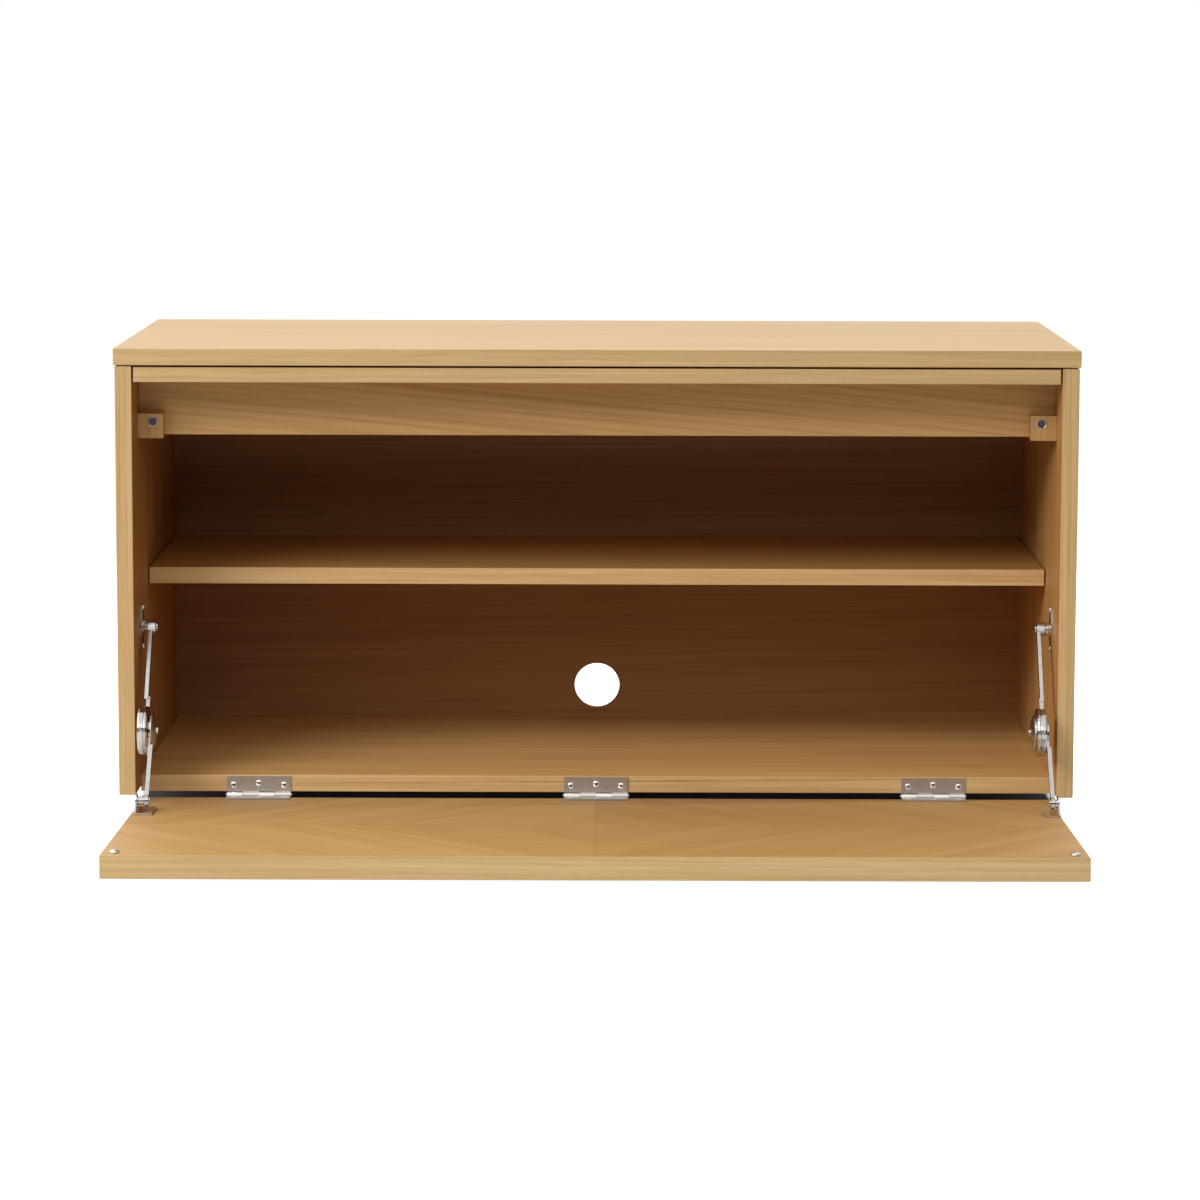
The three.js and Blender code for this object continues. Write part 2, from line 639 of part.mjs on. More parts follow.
for (const [word, side] of Object.entries(SIDES)) {
  const layers = STAY_LAYERS[word];
  const upper = linkGroup(STAY_PIVOT, STAY_KNEE);
  const lower = linkGroup(STAY_FOOT, STAY_KNEE);
  cabinet.add(upper, lower);
  add(cabinet, `${word}_stay_side_bracket`, nickel, sideBracket(side, layers));
  add(upper, `${word}_stay_upper_arm`, nickel, upperArm(side, layers));
  add(upper, `${word}_stay_brake_housing`, nickel, brakeHousing(side, layers).translate(0, UPPER_ARM, 0));
  add(lower, `${word}_stay_lower_arm`, nickel, lowerArm(side, layers));
  add(flap, `${word}_stay_foot_bracket`, nickel, footBracket(side, layers));
  footScrewsOf(side, screw(FOOT_BASE)).forEach((placed, index) => {
    add(flap, `${word}_stay_foot_screw_${index + 1}`, nickel, placed);
  });
  // The cap is pressed on whichever arm's plate or drum is outermost at the room side.
  const [capGroup, knee] = side < 0 ? [lower, LOWER_ARM] : [upper, UPPER_ARM];
  add(capGroup, `${word}_stay_brake_cap`, steel, brakeCap(side, layers).translate(0, knee, 0));
  add(capGroup, `${word}_stay_adjuster`, nickel, adjuster(side, layers).translate(0, knee, 0));
}

export default cabinet;
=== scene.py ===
"""Media cabinet in oak veneer with its flap open: finishes, small hardware, light and camera.

Lengths are metres. Wood grain, the lozenges and the floor's painted shadow are worked out in millimetres.
"""
import math

import bmesh
import bpy
from mathutils import Matrix, Vector


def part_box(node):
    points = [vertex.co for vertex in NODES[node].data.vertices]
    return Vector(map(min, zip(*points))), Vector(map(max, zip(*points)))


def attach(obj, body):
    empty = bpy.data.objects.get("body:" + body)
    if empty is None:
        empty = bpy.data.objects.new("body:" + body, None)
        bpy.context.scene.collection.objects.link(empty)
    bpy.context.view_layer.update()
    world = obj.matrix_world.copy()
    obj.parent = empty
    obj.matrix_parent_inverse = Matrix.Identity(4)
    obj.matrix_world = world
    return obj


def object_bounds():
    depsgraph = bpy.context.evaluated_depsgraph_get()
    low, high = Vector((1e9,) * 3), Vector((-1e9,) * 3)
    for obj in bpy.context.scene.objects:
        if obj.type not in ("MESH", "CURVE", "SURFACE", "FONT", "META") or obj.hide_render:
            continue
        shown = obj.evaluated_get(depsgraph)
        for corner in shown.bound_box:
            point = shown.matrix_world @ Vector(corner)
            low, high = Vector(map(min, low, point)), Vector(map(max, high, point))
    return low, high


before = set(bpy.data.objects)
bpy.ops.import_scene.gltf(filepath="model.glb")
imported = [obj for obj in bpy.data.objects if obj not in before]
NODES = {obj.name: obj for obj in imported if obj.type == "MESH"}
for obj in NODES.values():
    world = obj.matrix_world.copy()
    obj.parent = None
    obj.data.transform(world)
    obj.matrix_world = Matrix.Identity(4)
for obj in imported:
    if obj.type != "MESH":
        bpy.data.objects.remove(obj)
CAD_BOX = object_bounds()

MM = 0.001
SIDES = {"left": -1, "right": 1}
HINGES = ("left", "middle", "right")

# Linear colours of the oak, from the palest wood to the pores.
OAK_PALE = (0.66, 0.45, 0.21)
OAK_GOLD = (0.56, 0.355, 0.145)
OAK_DEEP = (0.43, 0.245, 0.085)
OAK = (OAK_PALE, OAK_GOLD, OAK_DEEP)

# The oak tones of single boards, as shares of the red, green and blue of the colours above. Several of them
# carry painted light and shade, as marked below.
TONES_AND_PAINTED_LIGHT = {
    "catch_block": (0.92, 0.82, 0.68),
    # painted shade: the shelf and hanging rail inside the cabinet are darkened to stand in for the
    # interior's shade
    "inside": (0.84, 0.64, 0.42),
    # painted shade: the side panels' faces toward the interior are darkened, the left one most, as the
    # light comes from the left
    "left_inside": (0.70, 0.50, 0.32),
    "right_inside": (0.88, 0.68, 0.47),
    # painted light: the recessed fascia is tinted lighter in red and warmer than the oak, to match how it
    # is lit under the top
    "fascia": (1.06, 0.98, 0.82),
    # painted shade: the back panel is darkened to stand in for the shade deep in the cabinet
    "back": (0.62, 0.43, 0.25),
    # painted light: the bottom panel is lightened in red, with less blue, to stand in for the light that
    # falls in on it
    "bottom": (1.12, 1.0, 0.80),
    # painted light: the recessed front edges of the shelf and bottom panel are lightened
    "shelf_edge_painted_light": (1.14, 1.14, 1.14),
    "flap": (0.90, 0.80, 0.62),
    "flap_edge": (0.90, 0.90, 0.88),
}
PORE_SHARE = (0.42, 0.34, 0.28)

# Length along the grain and width across it, in millimetres, of each layer of the wood's figure.
FIGURE_MM = {
    "drift": (420.0, 130.0),
    "wobble": (45.0, 12.0),
    "broad": (900.0, 38.0),
    "bands": (380.0, 4.6),
    "streaks": (95.0, 0.95),
    "pores": (11.0, 0.34),
    "clusters": (260.0, 2.6),
}
WOBBLE_MM = 2.2
RING_SPACING_MM = 8.5
WOOD_RELIEF = 0.12 * MM
METAL_RELIEF = 0.06 * MM

# A face looks along an axis when that part of its normal is longer than this.
FACING = 0.71

# The flap's veneer, in millimetres: the lozenges' middle and the flap's free edge are measured from the
# hinge axis, and the first seam and the pitch of the seams along the flap's length from its centre.
LOZENGE = {
    "middle": 205.0,
    "length": 425.0,
    "first": 66.0,
    "pitch": 186.0,
    "angle": math.radians(49.0),
    "lipping": 1.2,
}

# Radii of the softened arrises.
ARRIS = {
    "board": 0.7 * MM,
    "block": 0.8 * MM,
    "arm": 1.1 * MM,
    "plate": 0.4 * MM,
    "screw": 0.25 * MM,
}

FLAP_TILT = math.radians(2.07)
LEAF_PLAY = 0.5 * MM  # from a hinge leaf's face to the plane of the axis
KNUCKLE_RADIUS_MM = (3.4, 3.7)  # a hinge leaf's rolled knuckles end between these distances from the axis
HEAD_DOME = 0.8 * MM  # how far the middle of a screw head stands above its rim
PLATE_THICKNESS = 2.2 * MM  # the stays' side brackets
PLATE_TIP = 3.6 * MM  # radius of a side bracket's rounded ends, which the screws stand in

pin_low, pin_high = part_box("hinge_middle_pin")
AXIS = (pin_low + pin_high) / 2


# ---------------------------------------------------------------- node trees

class Nodes:
    """Short calls for building a material's node tree."""

    def __init__(self, tree):
        self.tree = tree

    def feed(self, socket, value):
        if isinstance(value, bpy.types.NodeSocket):
            self.tree.links.new(value, socket)
        elif value is not None:
            socket.default_value = value

    def make(self, kind, **settings):
        node = self.tree.nodes.new(kind)
        for name, value in settings.items():
            setattr(node, name, value)
        return node

    def math(self, operation, a, b=None, c=None):
        node = self.make("ShaderNodeMath", operation=operation)
        for socket, value in zip(node.inputs, (a, b, c)):
            self.feed(socket, value)
        return node.outputs[0]

    def combine(self, x, y, z):
        node = self.make("ShaderNodeCombineXYZ")
        for socket, value in zip(node.inputs, (x, y, z)):
            self.feed(socket, value)
        return node.outputs[0]

    def separate(self, vector):
        node = self.make("ShaderNodeSeparateXYZ")
        self.feed(node.inputs[0], vector)
        return node.outputs[0], node.outputs[1], node.outputs[2]

    def noise(self, vector, scale=1.0, detail=2.0, roughness=0.5):
        node = self.make("ShaderNodeTexNoise")
        self.feed(node.inputs["Vector"], vector)
        node.inputs["Scale"].default_value = scale
        node.inputs["Detail"].default_value = detail
        node.inputs["Roughness"].default_value = roughness
        return node.outputs[0]

    def spread(self, value, low, high, to_low=0.0, to_high=1.0):
        node = self.make("ShaderNodeMapRange")
        for socket, entry in zip(node.inputs, (value, low, high, to_low, to_high)):
            self.feed(socket, entry)
        return node.outputs[0]

    def mix(self, factor, a, b, blend="MIX"):
        node = self.make("ShaderNodeMix", data_type="RGBA", blend_type=blend)
        self.feed(node.inputs["Factor"], factor)
        self.feed(node.inputs["A"], rgba(a))
        self.feed(node.inputs["B"], rgba(b))
        return node.outputs["Result"]

    def pick(self, factor, a, b):
        """Vector b where factor is 1, otherwise vector a."""
        node = self.make("ShaderNodeMix", data_type="VECTOR")
        self.feed(node.inputs["Factor"], factor)
        self.feed(node.inputs[4], a)
        self.feed(node.inputs[5], b)
        return node.outputs[1]

    def ramp(self, value, stops):
        node = self.make("ShaderNodeValToRGB")
        self.feed(node.inputs[0], value)
        elements = node.color_ramp.elements
        while len(elements) < len(stops):
            elements.new(0.5)
        for element, (place, colour) in zip(elements, stops):
            element.position = place
            element.color = rgba(colour)
        return node.outputs[0]

    def bump(self, height, distance, strength=1.0):
        node = self.make("ShaderNodeBump")
        node.inputs["Strength"].default_value = strength
        node.inputs["Distance"].default_value = distance
        self.feed(node.inputs["Height"], height)
        return node.outputs[0]


def rgba(colour):
    if isinstance(colour, tuple) and len(colour) == 3:
        return (*colour, 1.0)
    return colour


def new_material(name):
    material = bpy.data.materials.new(name)
    material.use_nodes = True
    material.node_tree.nodes.clear()
    nodes = Nodes(material.node_tree)
    shader = nodes.make("ShaderNodeBsdfPrincipled")
    output = nodes.make("ShaderNodeOutputMaterial")
    nodes.tree.links.new(shader.outputs[0], output.inputs[0])
    return material, nodes, shader


# ---------------------------------------------------------------- oak

def face_masks(nodes):
    """1 on faces that look along X, and on faces that look along Y; 0 elsewhere."""
    coordinate = nodes.make("ShaderNodeTexCoord")
    normal_x, normal_y, _ = nodes.separate(coordinate.outputs["Normal"])
    along_x = nodes.math("GREATER_THAN", nodes.math("ABSOLUTE", normal_x), FACING)
    along_y = nodes.math("GREATER_THAN", nodes.math("ABSOLUTE", normal_y), FACING)
    return along_x, along_y


def place_mm(nodes):
    """The point's X, Y and Z in the cabinet, in millimetres."""
    coordinate = nodes.make("ShaderNodeTexCoord")
    x, y, z = nodes.separate(coordinate.outputs["Object"])
    return [nodes.math("MULTIPLY", value, 1000.0) for value in (x, y, z)]


def board_grain(nodes, grain, seed):
    """(along the grain, across it, depth) in millimetres, for a board whose faces run as `grain` says.

    grain gives, for the faces that look along X, Y and Z, the axis that their grain follows.
    """
    x, y, z = place_mm(nodes)
    axes = {"x": x, "y": y, "z": z}
    vectors = {}
    for order, face in enumerate("xyz"):
        along = grain[face]
        across = next(axis for axis in "xyz" if axis not in (face, along))
        offset = 731.0 * seed + 257.0 * order
        vectors[face] = nodes.combine(
            nodes.math("ADD", axes[along], offset),
            nodes.math("ADD", axes[across], offset * 0.37),
            nodes.math("MULTIPLY", axes[face], 0.2),
        )
    along_x, along_y = face_masks(nodes)
    return nodes.pick(along_y, nodes.pick(along_x, vectors["z"], vectors["x"]), vectors["y"])


def layer(nodes, name, along, across, depth, detail, roughness=0.5):
    """One layer of the figure: noise that is long along the grain and narrow across it."""
    length, width = FIGURE_MM[name]
    vector = nodes.combine(
        nodes.math("DIVIDE", along, length),
        nodes.math("DIVIDE", across, width),
        nodes.math("DIVIDE", depth, width),
    )
    return nodes.noise(vector, detail=detail, roughness=roughness)


def oak_figure(nodes, vector, colours, contrast=1.0, slant=0.0, wander=7.0, rings=0.0, lines=0.0):
    """Colour, roughness and relief height of oak whose grain runs along the vector's first part.

    rings adds the long arched lines of plain-sawn veneer, lines adds thin dark ones between them, and slant
    tips them all from the board's length.
    """
    along, across, depth = nodes.separate(vector)
    drift = layer(nodes, "drift", along, across, depth, 2.0)
    drift = nodes.math("MULTIPLY", nodes.math("SUBTRACT", drift, 0.5), wander * 2)
    across = nodes.math("ADD", across, drift)
    if slant:
        across = nodes.math("ADD", across, nodes.math("MULTIPLY", along, slant))
    wobble = layer(nodes, "wobble", along, across, depth, 2.0)
    across = nodes.math("ADD", across, nodes.math("MULTIPLY", wobble, WOBBLE_MM))

    broad = layer(nodes, "broad", along, across, depth, 3.0, roughness=0.6)
    bands = layer(nodes, "bands", along, across, depth, 3.0, roughness=0.62)
    streaks = layer(nodes, "streaks", along, across, depth, 3.0, roughness=0.6)
    pores = layer(nodes, "pores", along, across, depth, 1.0)
    clusters = layer(nodes, "clusters", along, across, depth, 2.0)

    tone = nodes.math("MULTIPLY", nodes.math("SUBTRACT", broad, 0.5), 0.9 * contrast)
    tone = nodes.math("MULTIPLY_ADD", nodes.math("SUBTRACT", bands, 0.5), 1.1 * contrast, tone)
    tone = nodes.math("MULTIPLY_ADD", nodes.math("SUBTRACT", streaks, 0.5), 0.95 * contrast, tone)
    if rings:
        phase = nodes.math("MULTIPLY", across, 2 * math.pi / RING_SPACING_MM)
        phase = nodes.math("MULTIPLY_ADD", bands, 7.0, phase)
        wave = nodes.math("SINE", nodes.math("DIVIDE", phase, 2))
        line = nodes.math("POWER", nodes.math("ABSOLUTE", wave), 5.0)
        tone = nodes.math("MULTIPLY_ADD", nodes.math("MULTIPLY", line, clusters), -rings, tone)
    tone = nodes.math("ADD", tone, 0.55)
    pale, gold, deep = colours
    colour = nodes.ramp(tone, [(0.12, deep), (0.5, gold), (0.88, pale)])

    open_pores = nodes.spread(pores, 0.58, 0.74)
    open_pores = nodes.math("MULTIPLY", open_pores, nodes.spread(clusters, 0.42, 0.66))
    colour = nodes.mix(nodes.math("MULTIPLY", open_pores, 0.42 * contrast), colour, deep_pore(deep))
    if lines:
        thin = nodes.spread(streaks, 0.56, 0.68)
        colour = nodes.mix(nodes.math("MULTIPLY", thin, lines), colour, deep_pore(deep))
    roughness = nodes.math("MULTIPLY_ADD", open_pores, 0.18, 0.46)
    roughness = nodes.math("MULTIPLY_ADD", streaks, 0.1, roughness)
    height = nodes.math("MULTIPLY_ADD", open_pores, -1.0, nodes.math("MULTIPLY", streaks, 0.5))
    return colour, roughness, height


def deep_pore(deep):
    return tuple(part * share for part, share in zip(deep, PORE_SHARE))


def finish_oak(nodes, shader, colour, roughness, height):
    """Satin lacquer over open-pored veneer."""
    nodes.feed(shader.inputs["Base Color"], colour)
    nodes.feed(shader.inputs["Roughness"], roughness)
    shader.inputs["Specular IOR Level"].default_value = 0.45
    nodes.feed(shader.inputs["Normal"], nodes.bump(height, WOOD_RELIEF, 0.5))


def oak_tone(name):
    """The three colours of oak in one of the tones."""
    red, green, blue = TONES_AND_PAINTED_LIGHT[name]
    return [(r * red, g * green, b * blue) for r, g, b in OAK]


def oak_board(name, grain, seed, colours=OAK, edges=None, **figure):
    """A veneered board: its faces in one tone, and its front edge band in another."""
    material, nodes, shader = new_material(name)
    vector = board_grain(nodes, grain, seed)
    colour, roughness, height = oak_figure(nodes, vector, colours, **figure)
    if edges is not None:
        edge_colour, _, _ = oak_figure(nodes, vector, edges, contrast=0.85, wander=3.0)
        _, along_y = face_masks(nodes)
        colour = nodes.mix(along_y, colour, edge_colour)
    finish_oak(nodes, shader, colour, roughness, height)
    return material


def side_board(name, seed, board_middle, inside):
    """A side panel: honey oak outside and on its front edge, and painted shade on its face toward the
    cabinet's interior, where a darker tone stands in for the shade inside.

    board_middle is how far the middle of the board's thickness stands from the cabinet's centre, in mm.
    """
    material, nodes, shader = new_material(name)
    vector = board_grain(nodes, UPRIGHT, seed)
    outer, roughness, height = oak_figure(nodes, vector, OAK)
    # painted shade: the face toward the interior takes the darker tone passed in
    inner_painted_shade, _, _ = oak_figure(nodes, vector, inside)
    edge, _, _ = oak_figure(nodes, vector, OAK, contrast=0.85, wander=3.0)
    x, _, _ = place_mm(nodes)
    # the mask of the painted shade: points nearer the cabinet's centre than the board's middle
    inner_painted_shade_mask = nodes.math("LESS_THAN", nodes.math("ABSOLUTE", x), board_middle)
    _, along_y = face_masks(nodes)
    colour = nodes.mix(along_y, nodes.mix(inner_painted_shade_mask, outer, inner_painted_shade), edge)
    finish_oak(nodes, shader, colour, roughness, height)
    return material


def lozenge_veneer(name, hinge_y, colours, edges):
    """The flap: veneer strips in nested lozenges round its middle, and plain straight edge bands."""
    material, nodes, shader = new_material(name)
    x, y, _ = place_mm(nodes)
    from_axis = nodes.math("DIVIDE", nodes.math("SUBTRACT", hinge_y / MM, y), math.cos(FLAP_TILT))
    out = nodes.math("ABSOLUTE", x)
    signed_up = nodes.math("SUBTRACT", from_axis, LOZENGE["middle"])
    up = nodes.math("ABSOLUTE", signed_up)
    angle = LOZENGE["angle"]
    across = nodes.math(
        "ADD",
        nodes.math("MULTIPLY", out, math.sin(angle)),
        nodes.math("MULTIPLY", up, math.cos(angle)),
    )
    along = nodes.math(
        "SUBTRACT",
        nodes.math("MULTIPLY", up, math.sin(angle)),
        nodes.math("MULTIPLY", out, math.cos(angle)),
    )
    right = nodes.math("GREATER_THAN", x, 0.0)
    near = nodes.math("GREATER_THAN", signed_up, 0.0)
    pitch = LOZENGE["pitch"] * math.sin(angle)
    first = LOZENGE["first"] * math.sin(angle)
    cell = nodes.math("DIVIDE", nodes.math("SUBTRACT", across, first), pitch)
    strip = nodes.math("FLOOR", cell)
    quarter = nodes.math("MULTIPLY_ADD", right, 2.0, near)
    shift = nodes.math("MULTIPLY_ADD", strip, 611.0, nodes.math("MULTIPLY", quarter, 1907.0))
    face = nodes.combine(
        nodes.math("ADD", along, shift),
        nodes.math("MULTIPLY_ADD", quarter, 83.0, across),
        nodes.math("MULTIPLY", strip, 57.0),
    )
    colour, roughness, height = oak_figure(nodes, face, colours, contrast=0.72, wander=4.0, rings=0.3)

    # Each strip catches the light in its own way, and so does each quarter.
    strip_tone = nodes.make("ShaderNodeTexWhiteNoise", noise_dimensions="2D")
    nodes.feed(strip_tone.inputs["Vector"], nodes.combine(strip, quarter, 0.0))
    shade = nodes.spread(strip_tone.outputs["Value"], 0.0, 1.0, 0.94, 1.05)
    shade = nodes.math("MULTIPLY", shade, nodes.math("MULTIPLY_ADD", right, -0.08, 1.04))
    shade = nodes.math("MULTIPLY", shade, nodes.math("MULTIPLY_ADD", near, 0.03, 0.99))
    warmer = nodes.combine(shade, nodes.math("POWER", shade, 1.4), nodes.math("POWER", shade, 1.9))
    colour = nodes.mix(1.0, colour, warmer, "MULTIPLY")

    # Thin glue lines between the strips, along the middle and down the centre.
    fold = nodes.math("ABSOLUTE", nodes.math("SUBTRACT", cell, nodes.math("ROUND", cell)))
    strip_seam = nodes.math("MULTIPLY", fold, pitch)
    to_seam = nodes.math("MINIMUM", strip_seam, nodes.math("MINIMUM", out, up))
    seam = nodes.spread(to_seam, 0.4, 1.3, 1.0, 0.0)
    colour = nodes.mix(nodes.math("MULTIPLY", seam, 0.55), colour, colours[2])
    past_seam = nodes.spread(strip_seam, 1.6, 2.6)
    near_seam = nodes.spread(strip_seam, 3.4, 6.0, 1.0, 0.0)
    beside = nodes.math("MULTIPLY", past_seam, near_seam)
    colour = nodes.mix(nodes.math("MULTIPLY", beside, 0.3), colour, colours[0])

    edge_vector = board_grain(nodes, {"x": "y", "y": "x", "z": "x"}, 23)
    edge_colour, _, _ = oak_figure(nodes, edge_vector, edges, contrast=0.8, wander=4.0)
    along_x, along_y = face_masks(nodes)
    on_edge = nodes.math("MAXIMUM", along_x, along_y)
    lipping = nodes.math("GREATER_THAN", from_axis, LOZENGE["length"] - LOZENGE["lipping"])
    colour = nodes.mix(nodes.math("MAXIMUM", on_edge, lipping), colour, edge_colour)
    finish_oak(nodes, shader, colour, roughness, height)
    return material


# ---------------------------------------------------------------- metal

def plated_metal(name, colour, roughness, smudge=0.12, brushed=0.0, barrel=None):
    """Nickel or steel: faint clouding in the polish, fine pits, and brush lines where asked for.

    barrel is the colour of a hinge leaf's rolled knuckles, which are polished brighter than its plate.
    """
    material, nodes, shader = new_material(name)
    x, y, z = place_mm(nodes)
    cloud = nodes.noise(nodes.combine(x, y, z), scale=0.16, detail=4.0, roughness=0.6)
    grit = nodes.noise(nodes.combine(x, y, z), scale=2.4, detail=2.0)
    line = nodes.noise(nodes.combine(nodes.math("MULTIPLY", x, 0.05), nodes.math("MULTIPLY", y, 5.0),
                                     nodes.math("MULTIPLY", z, 5.0)), detail=2.0)
    dull = tuple(part * 0.8 for part in colour)
    tone = nodes.mix(nodes.spread(cloud, 0.35, 0.75), colour, dull)
    shader.inputs["Metallic"].default_value = 1.0
    gloss = nodes.math("MULTIPLY_ADD", nodes.math("SUBTRACT", cloud, 0.5), smudge, roughness)
    gloss = nodes.math("MULTIPLY_ADD", nodes.math("SUBTRACT", grit, 0.5), smudge * 0.5, gloss)
    if barrel is not None:
        rise_y = nodes.math("POWER", nodes.math("SUBTRACT", y, AXIS.y / MM), 2.0)
        rise_z = nodes.math("POWER", nodes.math("SUBTRACT", z, AXIS.z / MM), 2.0)
        from_axis = nodes.math("SQRT", nodes.math("ADD", rise_y, rise_z))
        rolled = nodes.spread(from_axis, *KNUCKLE_RADIUS_MM, 1.0, 0.0)
        tone = nodes.mix(rolled, tone, barrel)
        gloss = nodes.math("MULTIPLY", gloss, nodes.spread(rolled, 0.0, 1.0, 1.0, 0.35))
    nodes.feed(shader.inputs["Base Color"], tone)
    nodes.feed(shader.inputs["Roughness"], gloss)
    relief = nodes.math("MULTIPLY_ADD", line, brushed, nodes.math("MULTIPLY", grit, 0.35))
    nodes.feed(shader.inputs["Normal"], nodes.bump(relief, METAL_RELIEF, 0.6))
    return material


def crossed_head(name, node_name, turn):
    """A bright screw head that looks along -Y: a bump domes its face, and a dark cross is painted on it as
    painted shade, standing in for a recess that the head's shape doesn't have.
    """
    low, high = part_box(node_name)
    centre = (low + high) / 2 / MM
    radius = (high.x - low.x) / 2 / MM
    material, nodes, shader = new_material(name)
    x, _, z = place_mm(nodes)
    side = nodes.math("SUBTRACT", x, centre.x)
    rise = nodes.math("SUBTRACT", z, centre.z)
    squares = nodes.math("ADD", nodes.math("POWER", side, 2.0), nodes.math("POWER", rise, 2.0))
    reach = nodes.math("SQRT", squares)
    cosine = math.cos(turn)
    sine = math.sin(turn)
    first = nodes.math("ADD", nodes.math("MULTIPLY", side, cosine), nodes.math("MULTIPLY", rise, sine))
    rise_part = nodes.math("MULTIPLY", rise, cosine)
    second = nodes.math("SUBTRACT", rise_part, nodes.math("MULTIPLY", side, sine))
    arms = nodes.math("MINIMUM", nodes.math("ABSOLUTE", first), nodes.math("ABSOLUTE", second))
    # painted shade: the cross recess is only a dark painted mark on the flat head
    cross = nodes.math("MULTIPLY", nodes.spread(arms, 0.4, 0.7, 1.0, 0.0),
                       nodes.spread(reach, 0.52 * radius, 0.66 * radius, 1.0, 0.0))
    nodes.feed(shader.inputs["Base Color"], nodes.mix(cross, (0.93, 0.90, 0.86), (0.10, 0.09, 0.085)))
    shader.inputs["Metallic"].default_value = 1.0
    nodes.feed(shader.inputs["Roughness"], nodes.spread(cross, 0.0, 1.0, 0.2, 0.5))
    share = nodes.math("DIVIDE", reach, radius)
    dome = nodes.math("MULTIPLY_ADD", nodes.math("POWER", share, 2.0), -1.0, 1.0)
    nodes.feed(shader.inputs["Normal"], nodes.bump(dome, HEAD_DOME, 1.0))
    return material


# ---------------------------------------------------------------- finishing the CAD nodes

def wear(node_name, material):
    node = NODES[node_name]
    node.data.materials.clear()
    node.data.materials.append(material)


def soften(node_name, width, segments=2, angle=28.0):
    """Rounds the sharp arrises of a CAD node by a bevel, without touching its mesh."""
    node = NODES[node_name]
    weld = node.modifiers.new("weld", "WELD")
    weld.merge_threshold = 0.01 * MM
    bevel = node.modifiers.new("arris", "BEVEL")
    bevel.width = width
    bevel.segments = segments
    bevel.limit_method = "ANGLE"
    bevel.angle_limit = math.radians(angle)
    bevel.use_clamp_overlap = True
    bevel.harden_normals = True


UPRIGHT = {"x": "z", "y": "z", "z": "y"}
LENGTHWISE = {"x": "y", "y": "x", "z": "x"}


def finish_boards():
    # painted shade and painted light: the inside, back and inner side tones are darkened as painted shade,
    # and the fascia, bottom and shelf edge tones lightened as painted light
    inside = oak_tone("inside")
    shelf_edge_painted_light = oak_tone("shelf_edge_painted_light")
    wear("top_panel", oak_board("oak_top", LENGTHWISE, 1, contrast=0.55, edges=OAK))
    wear("carcass_top_panel", oak_board("oak_strip", LENGTHWISE, 2, contrast=0.8))
    wear("fascia_rail", oak_board("oak_fascia", LENGTHWISE, 3, colours=oak_tone("fascia"), slant=0.09,
                                  rings=0.35, contrast=0.75, lines=0.3))
    wear("hanging_rail", oak_board("oak_rail", LENGTHWISE, 4, colours=inside, rings=0.3))
    wear("back_panel", oak_board("oak_back", LENGTHWISE, 5, colours=oak_tone("back"), rings=0.25,
                                 slant=-0.02))
    wear("adjustable_shelf", oak_board("oak_shelf", LENGTHWISE, 6, colours=inside, edges=shelf_edge_painted_light))
    wear("bottom_panel", oak_board("oak_bottom", LENGTHWISE, 7, colours=oak_tone("bottom"),
                                   edges=shelf_edge_painted_light))
    for seed, side in enumerate(SIDES, start=8):
        low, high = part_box(f"{side}_side_panel")
        board_middle = abs(low.x + high.x) / 2 / MM
        wear(f"{side}_side_panel",
             side_board(f"oak_{side}_side", seed, board_middle, oak_tone(f"{side}_inside")))
        wear(f"{side}_catch_block",
             oak_board(f"oak_{side}_block", UPRIGHT, seed + 4, colours=oak_tone("catch_block")))
    wear("flap_panel", lozenge_veneer("oak_flap_lozenges", AXIS.y, oak_tone("flap"), oak_tone("flap_edge")))
    for name in NODES:
        if name.endswith(("_panel", "_rail", "_shelf")) and name != "back_panel":
            soften(name, ARRIS["board"])
        elif name.endswith("_block"):
            soften(name, ARRIS["block"])


def finish_metalware():
    nickel = plated_metal("nickel_bright", (0.66, 0.64, 0.62), 0.09, smudge=0.06)
    screw = plated_metal("nickel_screw", (0.90, 0.87, 0.83), 0.3)
    leaf = plated_metal("steel_leaf", (0.56, 0.51, 0.47), 0.42, smudge=0.16, brushed=0.9,
                        barrel=(0.92, 0.88, 0.83))
    turned = plated_metal("steel_turned", (0.66, 0.62, 0.58), 0.28, brushed=0.4)
    magnet = plated_metal("magnet_dark", (0.16, 0.17, 0.19), 0.42)
    for name in NODES:
        if name.endswith("_leaf"):
            wear(name, leaf)
        elif "_screw_" in name:
            wear(name, crossed_head(f"head_{name}", name, len(name) + 0.9 * int(name[-1])))
        elif name.endswith("_strike"):
            wear(name, screw)
        elif name.endswith("_catch_magnet"):
            wear(name, magnet)
        elif name.endswith(("_pin", "_cap")):
            wear(name, turned)
        elif "_stay_" in name:
            wear(name, nickel)
    for name in NODES:
        if name.endswith("_arm"):
            soften(name, ARRIS["arm"], segments=4, angle=35.0)
        elif name.endswith(("_bracket", "_leaf", "_housing", "_cap", "_adjuster")):
            soften(name, ARRIS["plate"], segments=2, angle=35.0)
        elif "_screw_" in name:
            soften(name, ARRIS["screw"], segments=2, angle=35.0)
    return screw


# ---------------------------------------------------------------- small hardware

def mesh_piece(name, mesh_maker, material, body):
    mesh = bpy.data.meshes.new(name)
    shape = bmesh.new()
    mesh_maker(shape)
    bmesh.ops.recalc_face_normals(shape, faces=shape.faces)
    shape.to_mesh(mesh)
    shape.free()
    piece = bpy.data.objects.new(name, mesh)
    bpy.context.scene.collection.objects.link(piece)
    mesh.materials.append(material)
    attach(piece, body)
    return piece


def ring_of(shape, radius, height, segments):
    """A closed loop of vertices round Z."""
    loop = []
    for step in range(segments):
        angle = 2 * math.pi * step / segments
        loop.append(shape.verts.new((radius * math.cos(angle), radius * math.sin(angle), height)))
    return loop


